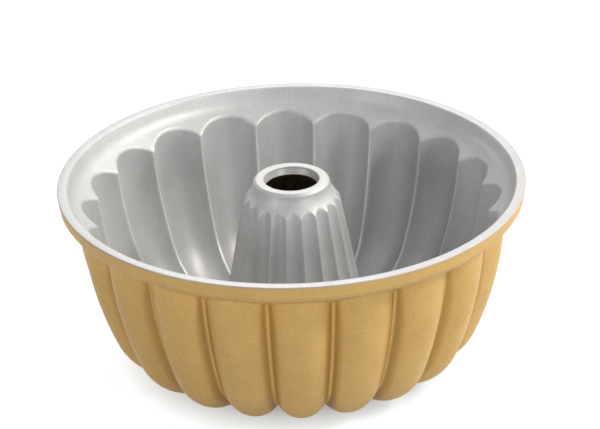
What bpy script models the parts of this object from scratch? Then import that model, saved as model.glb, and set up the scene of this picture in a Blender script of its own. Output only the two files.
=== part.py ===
"""A fluted tube pan for baking ring cakes: one aluminium casting between a grey non-stick lining and
a gold outer coat. Metres, +Z up. The pan stands on its base at z = 0 with its tube on the Z axis.

Every face of the pan is a layer at some depth into the wall: depth 0 is the face that touches the
cake, and depth WALL is the outside. One flute is worked out, centred on +X, and then spun round Z.
"""

import math

import bmesh
import bpy
from mathutils import Matrix, Vector

# The pan as a whole
PAN_HEIGHT = 0.1083
RIM_RADIUS = 0.130
FLUTES = 20

# Thickness of the three layers, and the clearance between them
LINING_THICKNESS = 0.00025
METAL_THICKNESS = 0.0022
COAT_THICKNESS = 0.00025
LAYER_GAP = 0.0003

# The rim: its flat ring, the bevel of its outer edge, and the skirt that hangs outside it
RIM_LAND = 0.0054
RIM_BEVEL = 0.001
SKIRT_DEPTH = 0.0048
SKIRT_TUCK = math.radians(38)

# The plain collar inside the rim, and the shoulder that the flutes run out into
COLLAR_DEPTH = 0.0083
COLLAR_TAPER = 0.0031
SHOULDER_SLOPE = math.radians(33)

# The fluted wall, along the deepest line of a flute on the cavity side
CROWN_INSET = 0.0128
WALL_BOW_RADIUS = 0.201
CORNER_RADIUS = 0.0407
WALL_FLUTE_ARC = math.radians(58)

# The outside's arcs are moved outwards by this share of the metal's thickness, not widened by it
GROOVE_SHARPNESS = 0.9

# The flat foot at the bottom of each flute
FOOT_LENGTH = 0.007
FOOT_WIDTH = 0.005

# The tube in the middle, along the deepest line of its grooves
TUBE_CROWN_RADIUS = 0.0231
TUBE_DRAFT = math.radians(9.8)
TUBE_FLUTE_ARC = math.radians(47)

# The tube's plain cap, its flat lip and its machined bore
BORE_RADIUS = 0.0154
BORE_HEIGHT = 0.005
LIP_LAND = 0.0046
LIP_BEVEL = 0.0013
CAP_SLOPE = math.radians(29)

# How finely a flute is divided on each side of its crown, and its round stretches along it
SIDE_COLUMNS = 2
WALL_STEPS = 2
CORNER_STEPS = 4
ROOT_STEPS = 2

# How points are sought, welded and shaded
HALVINGS = 50
WELD_DISTANCE = 0.00001
SHARP_ANGLE = math.radians(30)

# What follows from the sizes above
CASTING_FRONT = LINING_THICKNESS + LAYER_GAP
CASTING_BACK = CASTING_FRONT + METAL_THICKNESS
COAT_FRONT = CASTING_BACK + LAYER_GAP
WALL = COAT_FRONT + COAT_THICKNESS
TUBE_HEIGHT = PAN_HEIGHT
HALF_PITCH = math.pi / FLUTES
LEVEL = Vector((1, 0))
PLUMB = Vector((0, 1))

# The columns of points across one flute, as shares of the way from its crown to its ridges
RIDGE = 1
COLUMNS = [RIDGE * side / SIDE_COLUMNS for side in range(-SIDE_COLUMNS, SIDE_COLUMNS + 1)]


def crossing(point, direction, other, other_direction):
    """Where two lines of the radius and height plane cross."""
    turned = Vector((-other_direction.y, other_direction.x))
    return point + direction * ((other - point).dot(turned) / direction.dot(turned))


def inset(profile, distance):
    """A profile's points moved to the left of its run, which is into the metal on the cavity side."""
    runs = [(b - a).normalized() for a, b in zip(profile, profile[1:])]
    sides = [Vector((-run.y, run.x)) for run in runs]
    moved = [profile[0] + sides[0] * distance]
    for corner, run, side, next_run, next_side in zip(profile[1:], runs, sides, runs[1:], sides[1:]):
        moved.append(crossing(corner + side * distance, run, corner + next_side * distance, next_run))
    moved.append(profile[-1] + sides[-1] * distance)
    return moved


def rim_profile():
    """The turned face over the rim's bevelled edge and flat ring, down the collar, along the shoulder."""
    ring_edge = Vector((RIM_RADIUS - RIM_LAND, PAN_HEIGHT))
    collar_foot = ring_edge - Vector((COLLAR_TAPER, COLLAR_DEPTH))
    shoulder_run = Vector((-math.cos(SHOULDER_SLOPE), -math.sin(SHOULDER_SLOPE)))
    return [
        Vector((RIM_RADIUS, PAN_HEIGHT - RIM_BEVEL)),
        Vector((RIM_RADIUS - RIM_BEVEL, PAN_HEIGHT)),
        ring_edge,
        collar_foot,
        collar_foot + shoulder_run * RIM_RADIUS / 2,
    ]


def skirt_profile():
    """The turned outer face of the rim, plumb at first and then tucked in under the rim."""
    bend = Vector((RIM_RADIUS, PAN_HEIGHT - SKIRT_DEPTH))
    tuck_run = Vector((-math.sin(SKIRT_TUCK), -math.cos(SKIRT_TUCK)))
    return [Vector((RIM_RADIUS, PAN_HEIGHT)), bend, bend + tuck_run * SKIRT_DEPTH]


def cap_profile():
    """The turned face from below the tube's cap up its cone, over the bevel and across the lip."""
    lip_edge = Vector((BORE_RADIUS + LIP_LAND, TUBE_HEIGHT))
    cone_top = lip_edge + Vector((LIP_BEVEL, -LIP_BEVEL))
    cone_run = Vector((math.sin(CAP_SLOPE), -math.cos(CAP_SLOPE)))
    return [
        cone_top + cone_run * TUBE_HEIGHT / 2,
        cone_top,
        lip_edge,
        Vector((BORE_RADIUS, TUBE_HEIGHT)),
    ]


def steps(first, last, count):
    """Evenly spaced values from first to last, both included."""
    return [first + (last - first) * i / count for i in range(count + 1)]


def arc_station(centre_radius, arc_radius, lift, turn):
    """A station on an arc: the radius and height of the flute's deepest line, and the turn of the
    metal side there, from level and outward, through down, to inward."""
    height = WALL + arc_radius + lift - arc_radius * math.sin(turn)
    return centre_radius + arc_radius * math.cos(turn), height, turn


def wall_station(turn):
    """A station on the wall, which is plumb at the rim's height and bows in below it."""
    centre_radius = RIM_RADIUS - CROWN_INSET - WALL_BOW_RADIUS
    return arc_station(centre_radius, WALL_BOW_RADIUS, PAN_HEIGHT - WALL - WALL_BOW_RADIUS, turn)


def wall_crown(height):
    """A station on the wall at a height."""
    return wall_station(math.asin((PAN_HEIGHT - height) / WALL_BOW_RADIUS))


def tube_crown(height):
    """A station on the straight side of the tube."""
    radius = TUBE_CROWN_RADIUS + (TUBE_HEIGHT - height) * math.tan(TUBE_DRAFT)
    return radius, height, math.pi - TUBE_DRAFT


def flute_stations():
    """Stations down the wall, round the corner, over the foot and round the root of the tube. The
    corner's arc touches the wall's, and the root's fills what the foot and the tube leave."""
    down = math.pi / 2
    touch = math.asin((PAN_HEIGHT - WALL - CORNER_RADIUS) / (WALL_BOW_RADIUS - CORNER_RADIUS))
    foot_outer = wall_station(touch)[0] - CORNER_RADIUS * math.cos(touch)
    foot_inner = foot_outer - FOOT_LENGTH
    room = foot_inner - tube_crown(WALL)[0]
    root_radius = room / (math.cos(TUBE_DRAFT) - (1 - math.sin(TUBE_DRAFT)) * math.tan(TUBE_DRAFT))
    wall = [wall_station(t) for t in steps(0, touch, WALL_STEPS)[1:-1]]
    corner = [arc_station(foot_outer, CORNER_RADIUS, 0, t) for t in steps(touch, down, CORNER_STEPS)]
    end = math.pi - TUBE_DRAFT
    root = [arc_station(foot_inner, root_radius, 0, t) for t in steps(down, end, ROOT_STEPS)]
    return wall + corner[:-1], (corner[-1], root[0]), root[1:]


def flute_point(station, depth, share):
    """A point of the flute on +X, on the layer at that depth. A flute is a channel of round section,
    swept along its crown, and its arc ends on the ridge that it shares with the next flute."""
    radius, height, turn = station
    arc = WALL_FLUTE_ARC + (TUBE_FLUTE_ARC - WALL_FLUTE_ARC) * turn / (math.pi - TUBE_DRAFT)
    slope = math.tan(HALF_PITCH)
    outward = math.cos(turn)
    channel = radius * slope / (math.sin(arc) + outward * slope * (1 - math.cos(arc)))
    moved = 0
    if depth > CASTING_FRONT:
        moved = METAL_THICKNESS * GROOVE_SHARPNESS
    reach = channel + depth - moved
    middle = radius + outward * (moved - channel)
    lean = math.atan(outward * slope)
    ridge_angle = lean + math.asin(slope * middle / (reach * math.hypot(1, outward * slope)))
    angle = ridge_angle * share
    out = reach * math.cos(angle)
    return Vector(
        (
            middle + outward * out,
            reach * math.sin(angle),
            height + math.sin(turn) * (channel - moved - out),
        )
    )


def foot_point(station, depth, share):
    """A point of a station on the flat foot, which takes every column but those of the ridges."""
    if abs(share) == RIDGE:
        return flute_point(station, depth, share)
    side = share * SIDE_COLUMNS / (SIDE_COLUMNS - 1)
    return Vector((station[0], side * FOOT_WIDTH / 2, station[1] - depth))


def edge_point(crown, depth, share, cone, low, high):
    """Where a line along the flute runs out into a plain cone, found by halving between two heights.
    The cone is two points of a profile."""
    start, run = cone[0], cone[1] - cone[0]
    side = Vector((-run.y, run.x))

    def beyond(height):
        point = flute_point(crown(height), depth, share)
        return (Vector((point.xy.length, point.z)) - start).dot(side)

    low_side = beyond(low)
    for _ in range(HALVINGS):
        height = (low + high) / 2
        if (beyond(height) > 0) == (low_side > 0):
            low = height
        else:
            high = height
    return flute_point(crown(low), depth, share)


def on_ring(point, share):
    """A profile's point turned to the place of a column."""
    angle = HALF_PITCH * share
    return Vector((point.x * math.cos(angle), point.x * math.sin(angle), point.y))


def fluted_column(depth, share):
    """A column's points from the shoulder to the tube's cap, on the layer at that depth."""
    upper, foot, root = flute_stations()
    shoulder = inset(rim_profile(), depth)[-2:]
    cone = inset(cap_profile(), depth)[:2]
    points = [edge_point(wall_crown, depth, share, shoulder, upper[0][1], PAN_HEIGHT)]
    points += [flute_point(station, depth, share) for station in upper]
    points += [foot_point(station, depth, share) for station in foot]
    points += [flute_point(station, depth, share) for station in root]
    points.append(edge_point(tube_crown, depth, share, cone, root[-1][1], TUBE_HEIGHT))
    return points


def cavity_column(depth, share, edge, edge_direction):
    """A column of a face on the cavity side, from the bevel of the rim's edge to the bore. The face
    ends where the bevel crosses a line."""
    rim = inset(rim_profile(), depth)
    cap = inset(cap_profile(), depth)
    rim_edge = crossing(rim[0], rim[1] - rim[0], edge, edge_direction)
    plain_start = [on_ring(p, share) for p in (rim_edge, rim[1], rim[2], rim[3])]
    plain_end = [on_ring(p, share) for p in (cap[1], cap[2], cap[3])]
    return plain_start + fluted_column(depth, share) + plain_end


def outside_column(depth, share):
    """A column of a face on the outside, from the top of the skirt to the foot of the bore."""
    skirt = inset(skirt_profile(), depth - WALL)
    shoulder = inset(rim_profile(), depth)[-2:]
    skirt_top = Vector((skirt[0].x, PAN_HEIGHT - RIM_BEVEL - LAYER_GAP))
    skirt_foot = crossing(skirt[1], skirt[2] - skirt[1], shoulder[0], shoulder[1] - shoulder[0])
    cone = inset(cap_profile(), depth)[:2]
    bore_foot = Vector((BORE_RADIUS, TUBE_HEIGHT - BORE_HEIGHT - (depth - CASTING_BACK)))
    cone_top = crossing(bore_foot, LEVEL, cone[0], cone[1] - cone[0])
    plain_start = [on_ring(p, share) for p in (skirt_top, skirt[1], skirt_foot)]
    plain_end = [on_ring(p, share) for p in (cone_top, bore_foot)]
    return plain_start + fluted_column(depth, share) + plain_end


def lining_faces(share):
    """The lining ends level on the rim's bevel, just above the outer coat."""
    edge = Vector((RIM_RADIUS, PAN_HEIGHT - RIM_BEVEL))
    return [cavity_column(depth, share, edge, LEVEL) for depth in (0, LINING_THICKNESS)]


def casting_faces(share):
    """The casting's front runs out over the bevel to the plumb face of its own skirt."""
    edge = Vector((RIM_RADIUS - COAT_THICKNESS - LAYER_GAP, PAN_HEIGHT))
    return [cavity_column(CASTING_FRONT, share, edge, PLUMB), outside_column(CASTING_BACK, share)[1:]]


def coat_faces(share):
    """The outer coat covers the skirt, the lobes and the underside, up into the tube."""
    return [outside_column(depth, share) for depth in (COAT_FRONT, WALL)]


def skin(shape, loop, following, front_rows, before_crown):
    """Triangles between two columns. Their diagonals lean the same way on every face of every layer,
    and the other way past the crown, so that the layers run side by side and a flute is symmetrical."""
    for i in range(len(loop)):
        corners = (loop[i - 1], loop[i], following[i], following[i - 1])
        if (i < front_rows) != before_crown:
            corners = corners[1:] + corners[:1]
        shape.faces.new(corners[:3])
        shape.faces.new((corners[0], corners[2], corners[3]))


def spun_flutes(name, layer_faces):
    """A closed shell: a layer's front and back are skinned over the columns of one flute, and the
    flute is spun round the axis and welded to its copies."""
    shape = bmesh.new()
    loops = []
    for share in COLUMNS:
        front, back = layer_faces(share)
        loops.append([shape.verts.new(point) for point in front + back[::-1]])
    for share, loop, following in zip(COLUMNS, loops, loops[1:]):
        skin(shape, loop, following, len(front), share < 0)
    bmesh.ops.spin(
        shape,
        geom=shape.verts[:] + shape.edges[:] + shape.faces[:],
        axis=(0, 0, 1),
        cent=(0, 0, 0),
        angle=2 * math.pi - 2 * HALF_PITCH,
        steps=FLUTES - 1,
        use_duplicate=True,
    )
    bmesh.ops.remove_doubles(shape, verts=shape.verts, dist=WELD_DISTANCE)
    bmesh.ops.recalc_face_normals(shape, faces=shape.faces)
    mesh = bpy.data.meshes.new(name)
    shape.to_mesh(mesh)
    shape.free()
    mesh.shade_smooth()
    mesh.set_sharp_from_angle(angle=SHARP_ANGLE)
    return mesh


def finish(name, colour, roughness, metallic):
    """A material with one colour."""
    material = bpy.data.materials.new(name)
    material.use_nodes = True
    shader = material.node_tree.nodes["Principled BSDF"]
    shader.inputs["Base Color"].default_value = (*colour, 1)
    shader.inputs["Roughness"].default_value = roughness
    shader.inputs["Metallic"].default_value = metallic
    return material


def place(name, layer_faces, material):
    """One layer of the pan as a named object, standing on the base with the tube on the axis."""
    mesh = spun_flutes(name, layer_faces)
    mesh.materials.append(material)
    layer = bpy.data.objects.new(name, mesh)
    layer.matrix_world = Matrix.Identity(4)
    bpy.context.scene.collection.objects.link(layer)
    return layer


for old in list(bpy.data.objects):
    bpy.data.objects.remove(old)

place("pan_casting", casting_faces, finish("cast_aluminium", (0.61, 0.61, 0.60), 0.38, 1.0))
place("nonstick_lining", lining_faces, finish("grey_nonstick", (0.36, 0.36, 0.36), 0.42, 0.35))
place("gold_outer_coat", coat_faces, finish("gold_enamel", (0.52, 0.34, 0.13), 0.40, 0.55))
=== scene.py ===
import math

import bpy
from mathutils import Matrix, Vector


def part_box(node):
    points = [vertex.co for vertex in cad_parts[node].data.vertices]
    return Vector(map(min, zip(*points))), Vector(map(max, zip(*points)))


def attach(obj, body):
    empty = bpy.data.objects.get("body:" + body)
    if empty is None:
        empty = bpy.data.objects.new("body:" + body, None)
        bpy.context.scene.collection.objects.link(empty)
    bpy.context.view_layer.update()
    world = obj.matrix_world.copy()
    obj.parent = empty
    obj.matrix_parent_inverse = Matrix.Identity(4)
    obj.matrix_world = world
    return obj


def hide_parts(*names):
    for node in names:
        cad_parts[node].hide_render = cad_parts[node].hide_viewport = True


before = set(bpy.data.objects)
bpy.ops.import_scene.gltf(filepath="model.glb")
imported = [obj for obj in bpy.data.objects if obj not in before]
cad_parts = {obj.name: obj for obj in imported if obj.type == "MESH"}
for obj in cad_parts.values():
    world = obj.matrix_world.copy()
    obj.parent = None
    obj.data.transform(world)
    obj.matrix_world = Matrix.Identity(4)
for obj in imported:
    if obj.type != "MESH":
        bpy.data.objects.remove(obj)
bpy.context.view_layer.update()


# The casting. The pan's body is one aluminium casting: a rim, a wall of twenty flutes, and a fluted
# tube in the middle. Its two coats hide all of it but a band in the tube's mouth, which is turned on
# a lathe after they are on. It is drawn in under the coats by a little more than their thickness.

# The size of the pan over its rim, and half the angle that each flute takes up
rim_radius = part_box("nonstick_lining")[1].x
rim_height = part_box("nonstick_lining")[1].z
FLUTES = 20
half_pitch = math.pi / FLUTES
pitch_slope = math.tan(half_pitch)

# How finely a rounding is divided
ROUND_STEPS = 5


def steps(first, last, count):
    """Evenly spaced values from first to last, both included."""
    return [first + (last - first) * i / count for i in range(count + 1)]


def bent(start, corner, end, count):
    """Points of a curve that leaves start towards corner and reaches end from it."""
    return [
        start * (1 - t) ** 2 + corner * 2 * t * (1 - t) + end * t**2 for t in steps(0, 1, count)
    ]


def rounded(corners):
    """The points of a turned profile's rounded corners, (radius, height, rounding). The profile's two
    ends, (radius, height), only give a direction."""
    points = []
    for before, middle, after in zip(corners, corners[1:], corners[2:]):
        corner = Vector(middle[:2])
        back = (Vector(before[:2]) - corner).normalized()
        on = (Vector(after[:2]) - corner).normalized()
        reach = middle[2] / math.tan(back.angle(on) / 2)
        points += bent(corner + back * reach, corner, corner + on * reach, ROUND_STEPS)
    return points


def on_ring(point, angle):
    """A profile's point, turned to an angle round the tube's axis."""
    return Vector((point[0] * math.cos(angle), point[0] * math.sin(angle), point[1]))


# The rim's ring, the collar down from it, and the slope of the shoulder inside the collar
RING_WIDTH = 0.0054
RING_EDGE = 0.0007
RING_OUTER_ROUNDING = 0.0006
RING_INNER_ROUNDING = 0.0014
COLLAR_TAPER = 0.0031
COLLAR_DEPTH = 0.0083
COLLAR_ROUNDING = 0.0115
SHOULDER_SLOPE = math.radians(33)
collar_foot = Vector((rim_radius - RING_WIDTH - COLLAR_TAPER, rim_height - COLLAR_DEPTH))


def shoulder_point(radius, depth):
    """A point of the shoulder's cone, or of the layer that lies deeper in the metal."""
    fall = (collar_foot.x - radius) * math.tan(SHOULDER_SLOPE)
    return Vector((radius, collar_foot.y - fall - depth / math.cos(SHOULDER_SLOPE)))


# The tube's cap: its bore, its lip, and its neck, as a slope below the lip and a flare per metre
BORE_RADIUS = 0.0154
BORE_HEIGHT = 0.0048
BORE_EDGE = 0.0009
BORE_TAPER = 0.0009
BORE_ROUNDING = 0.0007
LIP_WIDTH = 0.0046
LIP_BEVEL = 0.0013
LIP_ROUNDING = 0.0008
CAP_SLOPE = 0.12
CAP_FLARE = 36
CAP_ROUNDING = 0.0012
cap_edge = Vector((BORE_RADIUS + LIP_WIDTH + LIP_BEVEL, rim_height - LIP_BEVEL))


def cap_point(height, depth):
    """A point of the cap's flaring neck, or of the layer that lies deeper in the metal."""
    below = cap_edge.y - height
    spread = below * CAP_SLOPE + below * abs(below) * CAP_FLARE
    slope = CAP_SLOPE + 2 * abs(below) * CAP_FLARE
    return Vector((cap_edge.x + spread - depth * math.hypot(1, slope), height))


# The metal of the wall, and how much more there is round the corner to the floor
WALL = 0.0038
CORNER_METAL = 0.0016

# The deepest line of a flute: down the bowed wall, round the corner, over the floor and up the tube
CROWN_INSET = 0.0128
BOW_RADIUS = 0.201
CORNER_RADIUS = 0.0407
FLOOR_LENGTH = 0.007
TUBE_CROWN = 0.0231
TUBE_DRAFT = math.radians(9.8)

# Where the bow meets the corner, the two edges of the floor, and the tube's foot and its root
touch = math.asin((rim_height - WALL - CORNER_RADIUS) / (BOW_RADIUS - CORNER_RADIUS))
bow_centre = rim_radius - CROWN_INSET - BOW_RADIUS
floor_outer = bow_centre + (BOW_RADIUS - CORNER_RADIUS) * math.cos(touch)
floor_inner = floor_outer - FLOOR_LENGTH
tube_foot = TUBE_CROWN + (rim_height - WALL) * math.tan(TUBE_DRAFT)
tube_turn = math.pi - TUBE_DRAFT
root_radius = (floor_inner - tube_foot) / (
    math.cos(TUBE_DRAFT) - (1 - math.sin(TUBE_DRAFT)) * math.tan(TUBE_DRAFT)
)
root_top = WALL + root_radius * (1 - math.sin(tube_turn))


def wall_station(turn):
    """Radius, height and turn on the bowed wall. The turn runs from level and outwards, through
    down at the floor, to inwards on the tube."""
    radius = bow_centre + BOW_RADIUS * math.cos(turn)
    return radius, rim_height - BOW_RADIUS * math.sin(turn), turn


def corner_station(centre, radius, turn):
    """Radius, height and turn on one of the two arcs that meet the floor."""
    return centre + radius * math.cos(turn), WALL + radius * (1 - math.sin(turn)), turn


def tube_station(height):
    """Radius, height and turn on the straight side of the tube."""
    return TUBE_CROWN + (rim_height - height) * math.tan(TUBE_DRAFT), height, tube_turn


# Half the arc of a flute at the rim, at the floor and on the tube, inside the pan and outside it
INSIDE_ARCS = [math.radians(58), math.radians(66), math.radians(47)]
OUTSIDE_ARCS = [math.radians(65), math.radians(75), math.radians(52)]

# How wide the softened ridges are, inside and outside, as a share of their distance from the axis,
# how much of that is flat, and how much is ground off the feet
INSIDE_RIDGE = 0.0135
OUTSIDE_RIDGE = 0.0130
RIDGE_FLAT = 0.3
FOOT_GRIND = 0.00025


def flute_point(station, share, depth, arcs, ridge_share):
    """A point across the flute on +X, at a share of the way from its crown to its ridges. The flute
    is a part of a round channel. Its ridges are softened, and its foot is ground flat."""
    radius, height, turn = station
    outward = math.cos(turn)
    downward = math.sin(turn)
    if depth:
        # The extra metal is thickest half-way from level to down
        depth += CORNER_METAL * max(2 * outward * downward, 0)
    if turn < math.pi / 2:
        arc = arcs[0] + (arcs[1] - arcs[0]) * turn / (math.pi / 2)
    else:
        arc = arcs[1] + (arcs[2] - arcs[1]) * (turn - math.pi / 2) / (tube_turn - math.pi / 2)
    crown = radius + outward * depth
    channel = crown * pitch_slope / (math.sin(arc) + outward * pitch_slope * (1 - math.cos(arc)))
    sag = channel * (1 - math.cos(arc * share))
    across = channel * math.sin(arc * share)
    point = Vector((crown - outward * sag, across, height - downward * (depth - sag)))
    # Near the ridge, the surface leaves the channel and bends over to a narrow flat
    beside = point.x * math.sin(half_pitch) - abs(point.y) * math.cos(half_pitch)
    ridge_width = point.xy.length * ridge_share
    if beside < ridge_width:
        flat = RIDGE_FLAT * ridge_width
        round_part = ridge_width - max(beside, flat)
        soft = round_part**2 / (2 * (ridge_width - flat)) + max(flat - beside, 0)
        soft *= math.tan(arc - math.atan(outward * pitch_slope))
        spread = point.xy.normalized() * outward
        point += Vector((spread.x, spread.y, -downward)) * soft
    point.z = max(point.z - FOOT_GRIND * downward**4, 0)
    return point


# How far a flute's edges are softened at the shoulder and at the cap, and how finely its parts and
# the cones at its ends are divided
SHOULDER_SOFTNESS = 0.0018
CAP_SOFTNESS = 0.0011
EDGE_STEPS = 5
WALL_STEPS = 16
CORNER_STEPS = 14
ROOT_STEPS = 8
TUBE_STEPS = 8
PLAIN_STEPS = 3
NECK_STEPS = 10
HALVINGS = 40


def crossing(beyond, low, high):
    """The value between low and high at which beyond changes from false to true."""
    for _ in range(HALVINGS):
        middle = (low + high) / 2
        if beyond(middle):
            high = middle
        else:
            low = middle
    return low


def fluted(share, depth, shoulder_depth, arcs, ridge_share):
    """A line of points along a flute, from the shoulder to the cap. At both ends it is rounded off
    into the plain cone that it runs out on."""

    def at(station):
        return flute_point(station, share, depth, arcs, ridge_share)

    def below_shoulder(turn):
        point = at(wall_station(turn))
        return point.z < shoulder_point(point.xy.length, shoulder_depth).y

    def outside_cap(height):
        point = at(tube_station(height))
        return point.xy.length > cap_point(height, depth).x

    def on_cone(edge, plain, end):
        """The cone's point beside an edge. Its angle eases from the edge's to the column's."""
        eased = (plain - Vector((edge.xy.length, edge.z))).length
        eased /= (end - Vector((edge.xy.length, edge.z))).length
        angle = math.atan2(edge.y, edge.x)
        return on_ring(plain, angle + (half_pitch * share - angle) * eased)

    start_turn = crossing(below_shoulder, 0, touch)
    soft_turn = start_turn + SHOULDER_SOFTNESS / BOW_RADIUS
    edge = at(wall_station(start_turn))
    reach = edge.xy.length + SHOULDER_SOFTNESS * math.cos(SHOULDER_SLOPE)
    plain = shoulder_point(reach, shoulder_depth)
    before = on_cone(edge, plain, shoulder_point(collar_foot.x, shoulder_depth))
    points = bent(before, edge, at(wall_station(soft_turn)), EDGE_STEPS)

    points += [at(wall_station(turn)) for turn in steps(soft_turn, touch, WALL_STEPS)[1:]]
    for turn in steps(touch, math.pi / 2, CORNER_STEPS)[1:]:
        points.append(at(corner_station(floor_outer, CORNER_RADIUS, turn)))
    for turn in steps(math.pi / 2, tube_turn, ROOT_STEPS):
        points.append(at(corner_station(floor_inner, root_radius, turn)))

    end_height = crossing(outside_cap, root_top, rim_height)
    soft_height = end_height - CAP_SOFTNESS * math.cos(TUBE_DRAFT)
    points += [at(tube_station(z)) for z in steps(root_top, soft_height, TUBE_STEPS)[1:-1]]
    edge = at(tube_station(end_height))
    plain = cap_point(end_height + CAP_SOFTNESS, depth)
    after = on_cone(edge, plain, cap_point(cap_edge.y, depth))
    return points + bent(at(tube_station(soft_height)), edge, after, EDGE_STEPS)


def along_cone(first, last):
    """Points between two others, spaced evenly in radius, height and angle round the axis."""
    here = Vector((first.xy.length, first.z, math.atan2(first.y, first.x)))
    there = Vector((last.xy.length, last.z, math.atan2(last.y, last.x)))
    places = [here.lerp(there, t) for t in steps(0, 1, PLAIN_STEPS)[1:-1]]
    return [on_ring(place, place[2]) for place in places]


def along_neck(first, last, depth):
    """Points of the cap's neck between two others, evenly spaced in height."""
    here = Vector((first.z, math.atan2(first.y, first.x)))
    there = Vector((last.z, math.atan2(last.y, last.x)))
    places = [here.lerp(there, t) for t in steps(0, 1, NECK_STEPS)[1:-1]]
    return [on_ring(cap_point(place[0], depth), place[1]) for place in places]


def column(start, flute, end, share, depth):
    """A plain start, a flute and a plain end, joined along the cone and the neck between them."""
    first = [on_ring(point, half_pitch * share) for point in start]
    last = [on_ring(point, half_pitch * share) for point in end]
    shoulder = along_cone(first[-1], flute[0])
    return first + shoulder + flute + along_neck(flute[-1], last[0], depth) + last


def inside_column(share):
    """The pan's inside at one column: from the rim's edge over the ring, down the collar and the
    flute, up the tube, and over the lip into the bore."""
    rim = rounded(
        [
            (rim_radius, rim_height - 2 * RING_EDGE),
            (rim_radius, rim_height, RING_OUTER_ROUNDING),
            (rim_radius - RING_WIDTH, rim_height, RING_INNER_ROUNDING),
            (*collar_foot, COLLAR_ROUNDING),
            shoulder_point(rim_radius - CROWN_INSET, 0),
        ]
    )
    lip = rounded(
        [
            cap_point(rim_height - 2 * LIP_BEVEL, 0),
            (*cap_edge, CAP_ROUNDING),
            (BORE_RADIUS + LIP_WIDTH, rim_height, LIP_ROUNDING),
            (BORE_RADIUS, rim_height, BORE_ROUNDING),
            (BORE_RADIUS, rim_height - BORE_EDGE),
        ]
    )
    rim = [Vector((rim_radius, rim_height - RING_EDGE))] + rim
    lip = lip + [Vector((BORE_RADIUS, rim_height - BORE_EDGE))]
    return column(rim, fluted(share, 0, 0, INSIDE_ARCS, INSIDE_RIDGE), lip, share, 0)


# The skirt that hangs outside the rim, the seam between the two coats on the rim's edge, and the
# rounding of the metal under the bore
SKIRT_DEPTH = 0.0070
SKIRT_TAPER = 0.0009
SKIRT_TUCK = 0.0028
SKIRT_WALL = 0.0043
SKIRT_ROUNDING = 0.0013
TUCK_ROUNDING = 0.0016
COAT_SEAM = 0.0001
THROAT_ROUNDING = 0.0020


def outside_column(share):
    """The pan's outside at one column: from just under the rim's edge down the skirt and round its
    foot, down the flute and up inside the tube to the bore."""
    under = RING_EDGE + COAT_SEAM
    skirt = rounded(
        [
            (rim_radius, rim_height - under),
            (rim_radius - SKIRT_TAPER, rim_height - SKIRT_DEPTH, SKIRT_ROUNDING),
            (*shoulder_point(rim_radius - SKIRT_TUCK, SKIRT_WALL), TUCK_ROUNDING),
            shoulder_point(rim_radius - CROWN_INSET, SKIRT_WALL),
        ]
    )
    throat = rounded(
        [
            cap_point(rim_height - 2 * BORE_HEIGHT, WALL),
            (*cap_point(rim_height - BORE_HEIGHT, WALL), THROAT_ROUNDING),
            (BORE_RADIUS - BORE_TAPER, rim_height - BORE_HEIGHT),
        ]
    )
    skirt = [Vector((rim_radius, rim_height - under))] + skirt
    throat = throat + [Vector((BORE_RADIUS - BORE_TAPER, rim_height - BORE_HEIGHT))]
    flute = fluted(share, WALL, SKIRT_WALL, OUTSIDE_ARCS, OUTSIDE_RIDGE)
    return column(skirt, flute, throat, share, WALL)


# The number of columns from a flute's middle to its ridge, how much they crowd towards the ridge, and
# how near to each other two vertices are welded
SIDE_COLUMNS = 11
RIDGE_CROWDING = 1.9
WELD_DISTANCE = 0.000002


def spun(name, make_column):
    """A grid takes the columns of one flute, whose hollow surface no operator gives. They lie closer
    together near its ridges. Copies of the grid are spun round the axis and welded."""
    side = [1 - (1 - i / SIDE_COLUMNS) ** RIDGE_CROWDING for i in range(SIDE_COLUMNS + 1)]
    columns = [make_column(share) for share in [-share for share in side[:0:-1]] + side]
    rows = len(columns[0])
    bpy.ops.object.select_all(action="DESELECT")
    bpy.ops.mesh.primitive_grid_add(x_subdivisions=len(columns) - 1, y_subdivisions=rows - 1)
    piece = bpy.context.object
    piece.name = name
    for number, vertex in enumerate(piece.data.vertices):
        row, place = divmod(number, len(columns))
        vertex.co = columns[place][row]
    bpy.ops.object.mode_set(mode="EDIT")
    bpy.ops.mesh.select_all(action="SELECT")
    bpy.ops.mesh.spin(
        steps=FLUTES - 1,
        dupli=True,
        angle=2 * math.pi - 2 * half_pitch,
        center=(0, 0, 0),
        axis=(0, 0, 1),
    )
    bpy.ops.mesh.select_all(action="SELECT")
    bpy.ops.mesh.remove_doubles(threshold=WELD_DISTANCE)
    bpy.ops.mesh.normals_make_consistent(inside=False)
    bpy.ops.object.mode_set(mode="OBJECT")
    return piece


# How far the turned band keeps from the coats' edges, and the margins that pick out its vertices
BAND_SEAM = 0.00005
BAND_MARGIN = 0.00002
BAND_REACH = 0.0001


def whole_column(share):
    """The inside, the turned band of the bore, and the outside, as one closed line."""
    inside = inside_column(share)
    outside = outside_column(share)
    band = [
        on_ring((BORE_RADIUS, rim_height - BORE_EDGE - BAND_SEAM), half_pitch * share),
        on_ring((BORE_RADIUS - BORE_TAPER, rim_height - BORE_HEIGHT + BAND_SEAM), half_pitch * share),
    ]
    return inside + band + outside[::-1] + inside[:1]


def in_band(vertex):
    """Whether a vertex is on the turned band."""
    depth = rim_height - vertex.co.z
    at_its_height = BORE_EDGE + BAND_MARGIN < depth < BORE_HEIGHT - BAND_MARGIN
    return at_its_height and vertex.co.xy.length < BORE_RADIUS + BAND_REACH


casting = spun("pan_casting_turned", whole_column)

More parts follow.
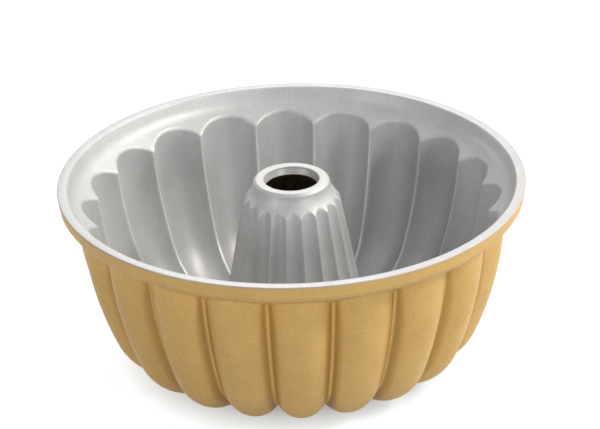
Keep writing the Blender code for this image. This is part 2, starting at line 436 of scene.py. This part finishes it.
# All but the band is drawn in, a little further than the coats are thick. Edges sharper than the
# angle stay crisp.
COAT_GAP = 0.00028
SHARP_ANGLE = math.radians(40)
for vertex in casting.data.vertices:
    vertex.select = not in_band(vertex)
bpy.ops.object.mode_set(mode="EDIT")
bpy.ops.mesh.select_mode(type="VERT")
bpy.ops.transform.shrink_fatten(value=-COAT_GAP)
bpy.ops.object.mode_set(mode="OBJECT")
bpy.ops.object.shade_smooth_by_angle(angle=SHARP_ANGLE)


def new_material(name, colour, metallic, roughness):
    """A material with its plain values set on the shader."""
    material = bpy.data.materials.new(name)
    material.use_nodes = True
    shader = material.node_tree.nodes["Principled BSDF"]
    shader.inputs["Base Color"].default_value = (*colour, 1)
    shader.inputs["Metallic"].default_value = metallic
    shader.inputs["Roughness"].default_value = roughness
    return material, shader


def ranged(tree, value, low, high, source=(0, 1), ends=True):
    """A value brought from its source range to the one from low to high, and kept in it by ends."""
    node = tree.nodes.new("ShaderNodeMapRange")
    node.clamp = ends
    for socket, number in zip(("From Min", "From Max", "To Min", "To Max"), (*source, low, high)):
        node.inputs[socket].default_value = number
    tree.links.new(value, node.inputs["Value"])
    return node.outputs["Result"]


def two_tones(tree, value, first, second):
    """A colour that goes from the first tone to the second with a value from 0 to 1."""
    node = tree.nodes.new("ShaderNodeMix")
    node.data_type = "RGBA"
    tree.links.new(value, node.inputs["Factor"])
    node.inputs["A"].default_value = (*first, 1)
    node.inputs["B"].default_value = (*second, 1)
    return node.outputs["Result"]


def bumped(tree, shader, height, depth):
    """Gives a shader's surface relief of a depth in metres."""
    node = tree.nodes.new("ShaderNodeBump")
    node.inputs["Distance"].default_value = depth
    tree.links.new(height, node.inputs["Height"])
    tree.links.new(node.outputs["Normal"], shader.inputs["Normal"])


def scaled(tree, vector, factors):
    """A vector with each of its values multiplied."""
    node = tree.nodes.new("ShaderNodeVectorMath")
    node.operation = "MULTIPLY"
    node.inputs[1].default_value = factors
    tree.links.new(vector, node.inputs[0])
    return node.outputs["Vector"]


def object_place(tree):
    """Where a point is on the object, in metres."""
    return tree.nodes.new("ShaderNodeTexCoord").outputs["Object"]


# The lathe's lines round the band: how far apart and how deep they are, how much they wander, and the
# metal's tone and roughness in them and between them
TOOL_LINE_PITCH = 0.0009
TOOL_LINE_DEPTH = 0.00006
TOOL_LINE_WANDER = 4
TOOL_LINE_WANDER_SCALE = 0.3
METAL_TONE = (0.70, 0.69, 0.67)
LINE_TONE = (0.42, 0.415, 0.40)
LAND_TONE = (0.78, 0.77, 0.75)
LINE_ROUGHNESS = 0.5
LAND_ROUGHNESS = 0.35

# A wave texture at a scale of 1 has its bands this far apart
WAVE_PITCH = math.pi / 10

aluminium, aluminium_shader = new_material(
    "turned_aluminium", METAL_TONE, metallic=0.5, roughness=0.42
)
aluminium_tree = aluminium.node_tree
tool_lines = aluminium_tree.nodes.new("ShaderNodeTexWave")
tool_lines.bands_direction = "Z"
tool_lines.inputs["Scale"].default_value = WAVE_PITCH / TOOL_LINE_PITCH
tool_lines.inputs["Distortion"].default_value = TOOL_LINE_WANDER
tool_lines.inputs["Detail Scale"].default_value = TOOL_LINE_WANDER_SCALE
aluminium_tree.links.new(object_place(aluminium_tree), tool_lines.inputs["Vector"])
tool_tone = two_tones(aluminium_tree, tool_lines.outputs["Fac"], LINE_TONE, LAND_TONE)
aluminium_tree.links.new(tool_tone, aluminium_shader.inputs["Base Color"])
tool_shine = ranged(aluminium_tree, tool_lines.outputs["Fac"], LINE_ROUGHNESS, LAND_ROUGHNESS)
aluminium_tree.links.new(tool_shine, aluminium_shader.inputs["Roughness"])
bumped(aluminium_tree, aluminium_shader, tool_lines.outputs["Fac"], TOOL_LINE_DEPTH)
casting.data.materials.append(aluminium)
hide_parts("pan_casting")
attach(casting, "root")


# The nonstick lining. It is a thin grey coat with a fine metallic grain, sprayed on the casting's
# inside and baked. It runs over the rim's ring and over the tube's lip, a little way into the bore.

COAT_THICKNESS = 0.0002


def skin(name, make_column):
    """A thin coat, which gets its thickness towards the metal behind it."""
    piece = spun(name, make_column)
    thickness = piece.modifiers.new("thickness", "SOLIDIFY")
    thickness.thickness = COAT_THICKNESS
    thickness.offset = -1
    bpy.ops.object.modifier_apply(modifier="thickness")
    bpy.ops.object.shade_smooth_by_angle(angle=SHARP_ANGLE)
    return piece


lining = skin("nonstick_lining_skin", inside_column)


# The size of the sprayed coats' metal flakes, how large and how deep the clouds and streaks in their
# tones are, and the range that noise keeps to
FLAKE_SIZE = 0.0008
CLOUD_SIZE = 0.02
CLOUD_DEPTH = 0.25
NOISE_ROUGHNESS = 0.6
NOISE_RANGE = (0.3, 0.7)
STREAKS_PER_TURN = 60
STREAK_DRAW = 0.8
STREAK_DEPTH = 0.16


def across(tree):
    """How far a point is from the tube's axis."""
    node = tree.nodes.new("ShaderNodeVectorMath")
    node.operation = "LENGTH"
    tree.links.new(scaled(tree, object_place(tree), (1, 1, 0)), node.inputs[0])
    return node.outputs["Value"]


def noise(tree, vector, scale):
    """Even random noise over a vector, as a value about a half."""
    node = tree.nodes.new("ShaderNodeTexNoise")
    node.inputs["Scale"].default_value = scale
    node.inputs["Roughness"].default_value = NOISE_ROUGHNESS
    tree.links.new(vector, node.inputs["Vector"])
    return node.outputs["Fac"]


def combined(tree, operation, first, second):
    """Two values added, multiplied or taken together in another way."""
    node = tree.nodes.new("ShaderNodeMath")
    node.operation = operation
    tree.links.new(first, node.inputs[0])
    tree.links.new(second, node.inputs[1])
    return node.outputs["Value"]


def grained(tree, shader, roughness, relief):
    """A sprayed coat with metal flakes in it. The flakes show as a fine grain in its roughness and
    its relief. The value that comes back is for its tone: the grain, under a faint cloud."""
    flakes = ranged(tree, noise(tree, object_place(tree), 1 / FLAKE_SIZE), 0, 1, NOISE_RANGE)
    cloud = noise(tree, object_place(tree), 1 / CLOUD_SIZE)
    cloud = ranged(tree, cloud, -CLOUD_DEPTH, CLOUD_DEPTH, NOISE_RANGE)
    tree.links.new(ranged(tree, flakes, *roughness), shader.inputs["Roughness"])
    bumped(tree, shader, flakes, relief)
    return combined(tree, "ADD", flakes, cloud)


def flute_wave(tree):
    """A value that is -1 along the middle of each flute and 1 along its ridges: a cosine of the angle
    round the axis, taken as many times as there are flutes."""
    place = tree.nodes.new("ShaderNodeSeparateXYZ")
    tree.links.new(object_place(tree), place.inputs[0])
    angle = combined(tree, "ARCTAN2", place.outputs["Y"], place.outputs["X"])
    wave = tree.nodes.new("ShaderNodeMath")
    wave.operation = "COSINE"
    turns = ranged(tree, angle, 0, FLUTES * math.pi, (0, math.pi), ends=False)
    tree.links.new(turns, wave.inputs[0])
    return ranged(tree, wave.outputs["Value"], 1, -1, (-1, 1))


def streaked(tree):
    """Faint streaks that run along the flutes: noise over the direction from the axis, drawn out in
    height."""
    around = tree.nodes.new("ShaderNodeVectorMath")
    around.operation = "NORMALIZE"
    tree.links.new(scaled(tree, object_place(tree), (1, 1, 0)), around.inputs[0])
    place = tree.nodes.new("ShaderNodeVectorMath")
    tree.links.new(around.outputs["Vector"], place.inputs[0])
    tree.links.new(scaled(tree, object_place(tree), (0, 0, STREAK_DRAW)), place.inputs[1])
    streaks = noise(tree, place.outputs["Vector"], STREAKS_PER_TURN)
    return ranged(tree, streaks, -STREAK_DEPTH, STREAK_DEPTH, NOISE_RANGE)


# The lining's plain grey, its dark and light tones, what its flakes do, and its slight gloss
GREY = (0.50, 0.495, 0.487)
GREY_DARK = (0.478, 0.472, 0.465)
GREY_LIGHT = (0.560, 0.554, 0.546)
GREY_ROUGHNESS = (0.54, 0.46)
GREY_RELIEF = 0.00001
GREY_GLOSS = 0.09
GREY_GLOSS_ROUGHNESS = 0.25

grey, grey_shader = new_material("grey_nonstick_grain", GREY, metallic=0.30, roughness=0.45)
grey_shader.inputs["Coat Weight"].default_value = GREY_GLOSS
grey_shader.inputs["Coat Roughness"].default_value = GREY_GLOSS_ROUGHNESS
grey_tree = grey.node_tree
grey_value = grained(grey_tree, grey_shader, GREY_ROUGHNESS, GREY_RELIEF)
grey_value = combined(grey_tree, "ADD", grey_value, streaked(grey_tree))

# The lining is painted lighter along the wall's ridges, as a painted highlight where they catch the
# light. The ridges are where the flutes' wave is high, and the wall lies between two distances from
# the axis.
RIDGE_HIGHLIGHT_GAIN = 2.2
RIDGE_WAVE = (0.992, 0.998)
WALL_FOOT = (0.060, 0.075)
WALL_TOP = (0.1085, 0.1105)
highlit_ridges = ranged(grey_tree, flute_wave(grey_tree), 0, RIDGE_HIGHLIGHT_GAIN, RIDGE_WAVE)
above_floor = ranged(grey_tree, across(grey_tree), 0, 1, WALL_FOOT)
below_shoulder = ranged(grey_tree, across(grey_tree), 1, 0, WALL_TOP)
on_wall = combined(grey_tree, "MULTIPLY", above_floor, below_shoulder)
painted_ridge_highlight = combined(grey_tree, "MULTIPLY", highlit_ridges, on_wall)
# The painted ridge highlight is added to the lining's tone
grey_value = combined(grey_tree, "ADD", grey_value, painted_ridge_highlight)
grey_tone = two_tones(grey_tree, grey_value, GREY_DARK, GREY_LIGHT)
grey_tone.node.clamp_factor = False

# The lining turns a pale gold towards the rim's very edge
EDGE_TINT_START = 0.1290
EDGE_TINT_TONE = (0.56, 0.475, 0.34)
edge_tint = ranged(grey_tree, across(grey_tree), 0, 1, (EDGE_TINT_START, rim_radius))
grey_all = two_tones(grey_tree, edge_tint, (0, 0, 0), EDGE_TINT_TONE)
grey_tree.links.new(grey_tone, grey_all.node.inputs["A"])
grey_tree.links.new(grey_all, grey_shader.inputs["Base Color"])
lining.data.materials.append(grey)
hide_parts("nonstick_lining")
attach(lining, "root")


# The outer coat. It is a gold enamel with a metallic grain, sprayed on the casting's outside, from
# the rim's edge down over the flutes and up inside the tube.

coat = skin("gold_outer_coat_skin", outside_column)

# The enamel's plain gold, its dark and light tones, and what its flakes do
GOLD = (0.54, 0.335, 0.10)
GOLD_DARK = (0.722, 0.439, 0.132)
GOLD_LIGHT = (0.880, 0.541, 0.173)
GOLD_METALLIC = 0.35
GOLD_ROUGHNESS = (0.5, 0.4)
GOLD_RELIEF = 0.000015

gold, gold_shader = new_material(
    "gold_metallic_enamel", GOLD, metallic=GOLD_METALLIC, roughness=0.45
)
gold_tree = gold.node_tree
gold_value = grained(gold_tree, gold_shader, GOLD_ROUGHNESS, GOLD_RELIEF)
gold_tone = two_tones(gold_tree, gold_value, GOLD_DARK, GOLD_LIGHT)

# The coat is painted darker on both sides of each groove, as painted shade for the grooves, but not
# in its bottom. The wave of the flutes gives where the shade sets in and ends, and the distance from
# the axis keeps it off the skirt.
GROOVE_SIDE_WAVE = (0.55, 0.96)
GROOVE_BOTTOM_WAVE = (0.982, 0.994)
SKIRT_FOOT = (0.1128, 0.1150)
GROOVE_SHADE_TONE = (0.57, 0.33, 0.078)
beside_groove = ranged(gold_tree, flute_wave(gold_tree), 0, 1, GROOVE_SIDE_WAVE)
off_groove = ranged(gold_tree, flute_wave(gold_tree), 1, 0, GROOVE_BOTTOM_WAVE)
below_skirt = ranged(gold_tree, across(gold_tree), 1, 0, SKIRT_FOOT)
groove_sides = combined(gold_tree, "MULTIPLY", beside_groove, off_groove)
painted_groove_shade = combined(gold_tree, "MULTIPLY", groove_sides, below_skirt)
gold_shaded = two_tones(gold_tree, painted_groove_shade, (0, 0, 0), GROOVE_SHADE_TONE)
gold_tree.links.new(gold_tone, gold_shaded.node.inputs["A"])

# Up inside the tube the coat is painted dark and made dull, as painted shade for the tube's deep
# hollow
TUBE_SHADE_START = 0.062
TUBE_SHADE_END = 0.045
TUBE_SHADE_TONE = (0.14, 0.10, 0.06)
tube_shade_and_dullness = ranged(gold_tree, across(gold_tree), 0, 1, (TUBE_SHADE_START, TUBE_SHADE_END))
gold_all = two_tones(gold_tree, tube_shade_and_dullness, (0, 0, 0), TUBE_SHADE_TONE)
gold_tree.links.new(gold_shaded, gold_all.node.inputs["A"])
gold_tree.links.new(gold_all, gold_shader.inputs["Base Color"])
gold_tree.links.new(ranged(gold_tree, tube_shade_and_dullness, GOLD_METALLIC, 0), gold_shader.inputs["Metallic"])
coat.data.materials.append(gold)
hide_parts("gold_outer_coat")
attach(coat, "root")


# The floor and the surround. The pan stands on a plain pale sheet in a white surround. The camera
# sees both as white, and metal sees the sheet darker. The sheet's glow fades out towards the pan as a
# painted contact shadow, and the pan's own shadow shows there too.

# The sheet's size and tone, the surround's plain light, how bright the camera and metal see the
# sheet, and the distances from the pan's middle between which its glow fades into the painted shadow
FLOOR_SIZE = 6
FLOOR_TONE = (0.335, 0.390, 0.450)
SURROUND_LIGHT = 0.175
FLOOR_LIFT = 0.88
FLOOR_GLOSS = 0.55
SHADE_START = 0.100
SHADE_END = 0.044


def shown_strength(tree, ways, plain, shown):
    """A strength that is plain for diffuse light, and another value for the ways it is seen."""
    rays = tree.nodes.new("ShaderNodeLightPath")
    seen = rays.outputs[ways[0]]
    for other in ways[1:]:
        seen = combined(tree, "MAXIMUM", seen, rays.outputs[other])
    return ranged(tree, seen, plain, shown)


bpy.ops.object.select_all(action="DESELECT")
bpy.ops.mesh.primitive_plane_add(size=FLOOR_SIZE, location=(0, 0, 0))
floor = bpy.context.object
floor.name = "floor_sheet"
floor_paint, floor_shader = new_material("floor_paint", FLOOR_TONE, metallic=0, roughness=1)
floor_shader.inputs["Specular IOR Level"].default_value = 0
floor_shader.inputs["Emission Color"].default_value = (1, 1, 1, 1)
floor_tree = floor_paint.node_tree
floor_seen = shown_strength(floor_tree, ["Is Camera Ray"], 0, FLOOR_LIFT - FLOOR_GLOSS)
floor_mirrored = shown_strength(floor_tree, ["Is Camera Ray", "Is Glossy Ray"], 0, FLOOR_GLOSS)
floor_lift = combined(floor_tree, "ADD", floor_seen, floor_mirrored)
# Painted contact shadow: the glow fades towards the pan's middle
outside_painted_shadow = ranged(floor_tree, across(floor_tree), 0, 1, (SHADE_END, SHADE_START))
floor_glow = combined(floor_tree, "MULTIPLY", floor_lift, outside_painted_shadow)
floor_tree.links.new(floor_glow, floor_shader.inputs["Emission Strength"])
floor.data.materials.append(floor_paint)

surround = bpy.data.worlds.new("white_surround")
surround.use_nodes = True
surround_tree = surround.node_tree
surround_shader = surround_tree.nodes["Background"]
surround_shader.inputs["Color"].default_value = (1, 1, 1, 1)
surround_ways = ["Is Camera Ray", "Is Glossy Ray", "Is Transmission Ray"]
surround_strength = shown_strength(surround_tree, surround_ways, SURROUND_LIGHT, 1)
surround_tree.links.new(surround_strength, surround_shader.inputs["Strength"])
bpy.context.scene.world = surround


# The light. Eight soft square studio lamps stand round the pan. Four of them look down on it from the
# right and from behind, and four weaker ones stand low on all sides.

LAMP_DISTANCE = 1.6
HIGH = math.radians(40)
LOW = math.radians(12)


def lamp(name, side, rise, size, power, warmth=0):
    """A square soft lamp, some degrees round the pan from its front, and at a rise above its rim."""
    light = bpy.data.lights.new(name, "AREA")
    light.size = size
    light.energy = power
    light.color = (1, 1 - warmth / 2, 1 - warmth)
    place = Vector((0, -LAMP_DISTANCE, 0))
    place.rotate(Matrix.Rotation(-rise, 3, "X"))
    place.rotate(Matrix.Rotation(math.radians(side), 3, "Z"))
    holder = bpy.data.objects.new(name, light)
    holder.location = place + Vector((0, 0, rim_height))
    holder.rotation_euler = place.to_track_quat("Z", "Y").to_euler()
    bpy.context.collection.objects.link(holder)


lamp("right_front_lamp", 71, HIGH, size=0.3, power=11.6, warmth=0.03)
lamp("right_lamp", 102, HIGH, size=0.4, power=6.2, warmth=0.03)
lamp("right_back_lamp", 130, HIGH, size=0.5, power=5.8, warmth=0.02)
lamp("back_lamp", 180, HIGH, size=0.4, power=6.4)
lamp("low_front_lamp", 40, LOW, size=0.3, power=4.4)
lamp("low_right_lamp", 104, LOW, size=0.4, power=2.9)
lamp("left_front_lamp", -48, LOW, size=0.4, power=4.4)
lamp("left_back_lamp", -130, LOW, size=0.4, power=1.8)


# The camera. It has a long lens, and looks down on the pan from a metre and a half in front of its
# middle and nearly three quarters of a metre above its rim. Its place and its turns were fitted to
# the shape of the pan in the photograph.

SENSOR_WIDTH = 36
LENS = 180
CAMERA_DISTANCE = 1.49935
CAMERA_RISE = 0.725556
CAMERA_TILT = 0.462858
CAMERA_YAW = 0.0028475
CAMERA_ROLL = -0.0276502
CAMERA_SWING = math.radians(-1.44)

camera_data = bpy.data.cameras.new("photo_camera")
camera_data.sensor_width = SENSOR_WIDTH
camera_data.lens = LENS
camera = bpy.data.objects.new("photo_camera", camera_data)
bpy.context.collection.objects.link(camera)
camera.matrix_world = (
    Matrix.Rotation(CAMERA_SWING, 4, "Z")
    @ Matrix.Translation((0, -CAMERA_DISTANCE, rim_height + CAMERA_RISE))
    @ Matrix.Rotation(-CAMERA_YAW, 4, "Z")
    @ Matrix.Rotation(math.pi / 2 - CAMERA_TILT, 4, "X")
    @ Matrix.Rotation(CAMERA_ROLL, 4, "Z")
)
bpy.context.scene.camera = camera
bpy.context.scene.view_settings.view_transform = "Standard"
